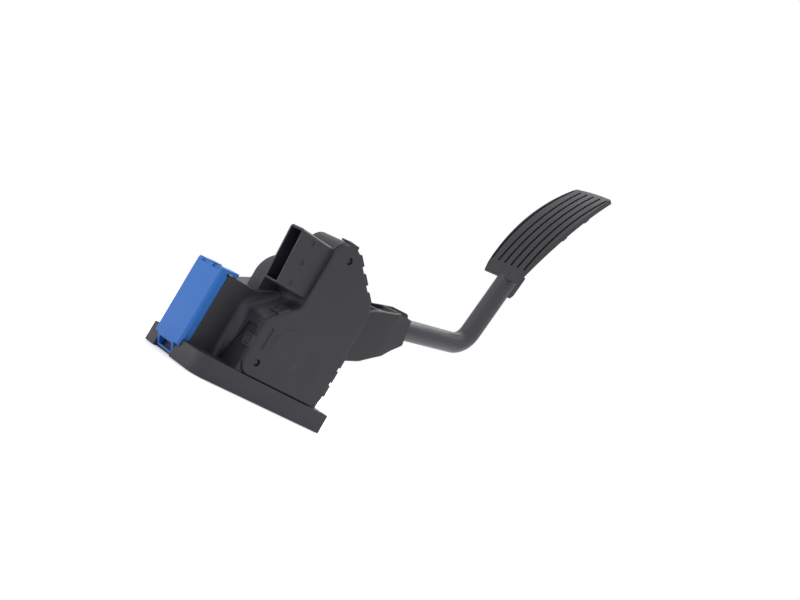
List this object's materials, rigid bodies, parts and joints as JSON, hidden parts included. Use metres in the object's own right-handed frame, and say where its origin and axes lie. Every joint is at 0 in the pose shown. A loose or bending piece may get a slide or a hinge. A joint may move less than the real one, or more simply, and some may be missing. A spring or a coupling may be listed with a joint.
{
  "type": "accelerator pedal",
  "caption": "Car accelerator pedal with a black sensor housing, plug socket, blue lock clip, bent rod and bowed, grooved pad.",
  "frame": {"origin": "centre of the base plate's mounting face", "axes": "+X from the lock clip towards the pad, +Y away from the side cover, +Z away from the mounting face"},
  "size_m": [0.2804, 0.0655, 0.2705],
  "materials": {
    "black_plastic": "fine-grained satin",
    "cover_plastic": "fine-grained satin",
    "blue_plastic": "smooth satin",
    "bush_bronze": "dull sintered",
    "bare_steel": "turned",
    "magnet": "dull",
    "board": "green solder resist",
    "chip": "moulded",
    "pin_metal": "bright plated",
    "plated_steel": "zinc plated",
    "hub_plastic": "fine-grained satin",
    "rod_paint": "satin black coat",
    "pad_plastic": "fine-grained matt",
    "spring_steel": "oiled",
    "pale_plastic": "moulded",
    "stop_rubber": "matt"
  },
  "bodies": {
    "base": {"housing": "black_plastic", "side_cover": "cover_plastic", "lock_clip": "blue_plastic", "near_bush": "bush_bronze", "far_bush": "bush_bronze", "sensor_board": "board", "sensor_chips": "chip", "contact_pins": "pin_metal", "mounting_sleeves": "plated_steel", "idle_buffer": "stop_rubber", "full_travel_buffer": "stop_rubber", "outer_return_spring": "spring_steel", "inner_return_spring": "spring_steel"},
    "pedal": {"pedal_hub": "hub_plastic", "pedal_rod": "rod_paint", "pedal_pad": "pad_plastic", "pivot_shaft": "bare_steel", "shaft_ring": "bare_steel", "sensor_rotor": "pale_plastic", "rotor_magnet": "magnet", "spring_cap": "pale_plastic"}
  },
  "joints": [
    {"name": "pedal_hinge", "type": "hinge", "parent": "base", "child": "pedal", "pos_m": [-0.0023, -0.0055, 0.04], "axis": [0, 1, 0], "range_deg": [0, 15], "stiffness_Nm_per_rad": 18, "springref_deg": -13.18, "deforming": ["outer_return_spring", "inner_return_spring"]}
  ]
}
